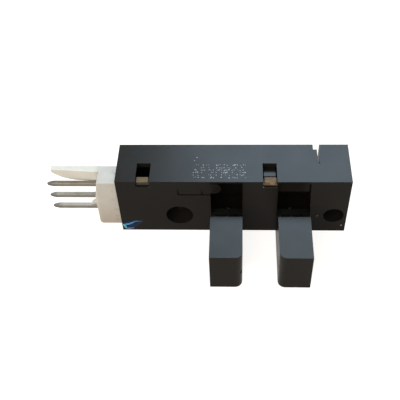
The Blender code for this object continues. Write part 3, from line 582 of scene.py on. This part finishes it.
def make_grain(surface):
    """A flattened grain of dust on the front face."""
    shape = bmesh.new()
    bmesh.ops.create_icosphere(shape, subdivisions=2, radius=GRAIN_RADIUS)
    bmesh.ops.scale(shape, vec=GRAIN_FLATNESS, verts=shape.verts)
    chance = random.Random(GRAIN_SEED)
    for vert in shape.verts:
        vert.co *= chance.uniform(0.85, 1.1)
    x, z = GRAIN_MIDDLE
    bmesh.ops.translate(shape, vec=(x, BODY_FRONT - GRAIN_RADIUS * 0.3, z), verts=shape.verts)
    add_piece("dust_grain", shape, surface).data.shade_smooth()


def dot(shape, x, y, radius, sides=8):
    """A tiny printed disc on the top face."""
    turns = [2 * math.pi * i / sides for i in range(sides)]
    base = [(x + radius * math.cos(turn), y + radius * math.sin(turn)) for turn in turns]
    low = [shape.verts.new((a, b, BODY_TOP)) for a, b in base]
    high = [shape.verts.new((a, b, BODY_TOP + MARK_DOT_HEIGHT)) for a, b in base]
    for i in range(sides):
        k = (i + 1) % sides
        shape.faces.new((low[i], low[k], high[k], high[i]))
    shape.faces.new(high)
    shape.faces.new(low)


def make_marking():
    """A row of patches of scattered dots where such parts carry their print: no letters, only dots."""
    chance = random.Random(MARK_SEED)
    shape = bmesh.new()
    for group in range(MARK_GROUPS):
        for column in range(MARK_COLUMNS):
            for row in range(MARK_ROWS):
                x = MARK_LEFT + group * MARK_GROUP_PITCH + column * MARK_COLUMN_PITCH
                y = MARK_FRONT + row * MARK_ROW_PITCH
                if chance.random() > MARK_BARE_SHARE:
                    dot(shape, x + chance.uniform(-MARK_SCATTER, MARK_SCATTER),
                        y + chance.uniform(-MARK_SCATTER, MARK_SCATTER),
                        MARK_DOT_RADIUS * chance.uniform(0.6, 1.1))
    for x, y in STRAY_DOTS:
        dot(shape, x, y, MARK_DOT_RADIUS)
    ink = plain_fleck("marking_ink", (0.10, 0.12, 0.14), (0.34, 0.37, 0.41))
    add_piece("printed_dots", shape, ink)


# Floor, light and camera

def make_floor():
    """A plain floor, white where it is seen and dimmer in reflections, with the part's shadow kept."""
    shape = bmesh.new()
    bmesh.ops.create_grid(shape, x_segments=1, y_segments=1, size=3)
    mesh = bpy.data.meshes.new("floor")
    shape.to_mesh(mesh)
    shape.free()
    floor = bpy.data.objects.new("floor", mesh)
    bpy.context.collection.objects.link(floor)
    surface = bpy.data.materials.new("floor")
    surface.use_nodes = True
    tree = surface.node_tree
    shader = tree.nodes["Principled BSDF"]
    shader.inputs["Base Color"].default_value = (0.42, 0.38, 0.33, 1)
    shader.inputs["Roughness"].default_value = 0.9
    shader.inputs["Specular IOR Level"].default_value = 0.1
    shader.inputs["Emission Color"].default_value = (1, 1, 1, 1)
    glow = fit_range(tree, seen_rays(tree, FLOOR_MIRRORED_SHARE), 0.0, 1.0, 0.0, FLOOR_GLOW)
    tree.links.new(glow, shader.inputs["Emission Strength"])
    mesh.materials.append(surface)


def seen_rays(tree, mirrored=1.0):
    """1 for camera rays, mirrored for glossy and transmission rays, 0 for rays that light surfaces."""
    path = tree.nodes.new("ShaderNodeLightPath")
    total = path.outputs["Is Camera Ray"]
    for name in ("Is Glossy Ray", "Is Transmission Ray"):
        share = fit_range(tree, path.outputs[name], 0.0, 1.0, 0.0, mirrored)
        step = tree.nodes.new("ShaderNodeMath")
        step.operation = "MAXIMUM"
        tree.links.new(total, step.inputs[0])
        tree.links.new(share, step.inputs[1])
        total = step.outputs["Value"]
    return total


def make_world():
    """Soft even light from all round; seen directly, the world is plain white."""
    world = bpy.data.worlds.new("studio")
    world.use_nodes = True
    tree = world.node_tree
    background = tree.nodes["Background"]
    soft = tree.nodes.new("ShaderNodeBackground")
    soft.inputs["Color"].default_value = (1.0, 0.98, 0.95, 1)
    soft.inputs["Strength"].default_value = 0.45
    background.inputs["Color"].default_value = (1, 1, 1, 1)
    background.inputs["Strength"].default_value = 1.0
    mix = tree.nodes.new("ShaderNodeMixShader")
    tree.links.new(seen_rays(tree), mix.inputs["Fac"])
    tree.links.new(soft.outputs["Background"], mix.inputs[1])
    tree.links.new(background.outputs["Background"], mix.inputs[2])
    tree.links.new(mix.outputs["Shader"], tree.nodes["World Output"].inputs["Surface"])
    bpy.context.scene.world = world


def add_area_light(name, place, target, size, power, colour):
    """A rectangular soft light: place and target in millimetres, size in metres."""
    lamp = bpy.data.lights.new(name, "AREA")
    lamp.shape = "RECTANGLE"
    lamp.size, lamp.size_y = size
    lamp.energy = power
    lamp.color = colour
    item = bpy.data.objects.new(name, lamp)
    item.location = Vector(place) * MM
    item.rotation_euler = (Vector(target) - Vector(place)).to_track_quat("-Z", "Y").to_euler()
    bpy.context.collection.objects.link(item)


def make_lights():
    centre = (5, 2, 8)
    add_area_light("window", (50, 262, 318), centre, (0.18, 0.15), 1.3, (0.64, 0.84, 1.0))
    add_area_light("fill", (-90, -260, 200), centre, (0.30, 0.30), 1.0, (1.0, 0.93, 0.84))


def make_camera():
    """Stands where the photograph was taken from."""
    camera = bpy.data.cameras.new("camera")
    camera.sensor_width = SENSOR_WIDTH
    camera.lens = FOCAL_PIXELS / PICTURE_PIXELS * SENSOR_WIDTH
    camera.clip_start = 0.005
    camera.clip_end = 10
    item = bpy.data.objects.new("camera", camera)
    bpy.context.collection.objects.link(item)
    right = Vector((math.cos(CAMERA_YAW), -math.sin(CAMERA_YAW), 0))
    forward = Vector((math.sin(CAMERA_YAW) * math.cos(CAMERA_PITCH),
                      math.cos(CAMERA_YAW) * math.cos(CAMERA_PITCH),
                      -math.sin(CAMERA_PITCH)))
    up = right.cross(forward)
    rolled_right = right * math.cos(CAMERA_ROLL) + up * math.sin(CAMERA_ROLL)
    rolled_up = up * math.cos(CAMERA_ROLL) - right * math.sin(CAMERA_ROLL)
    target = Vector(((BODY_LEFT + BODY_RIGHT) / 2, BODY_FRONT, BODY_TOP))
    lens = target - (rolled_right * TARGET_OFFSET.x
                     + rolled_up * TARGET_OFFSET.y
                     + forward * TARGET_OFFSET.z)
    turn = Matrix((rolled_right, rolled_up, -forward)).transposed()
    item.matrix_world = Matrix.Translation(lens * MM) @ turn.to_4x4()
    bpy.context.scene.camera = item


def main():
    bpy.context.scene.view_settings.view_transform = "Standard"
    dress_frame()
    make_paint()
    make_marking()
    make_lint(plain_fleck("grey_lint", (0.08, 0.08, 0.08), (0.22, 0.22, 0.21)))
    make_grain(plain_fleck("pale_dust", (0.25, 0.25, 0.24), (0.50, 0.50, 0.48)))
    make_floor()
    make_world()
    make_lights()
    make_camera()


main()
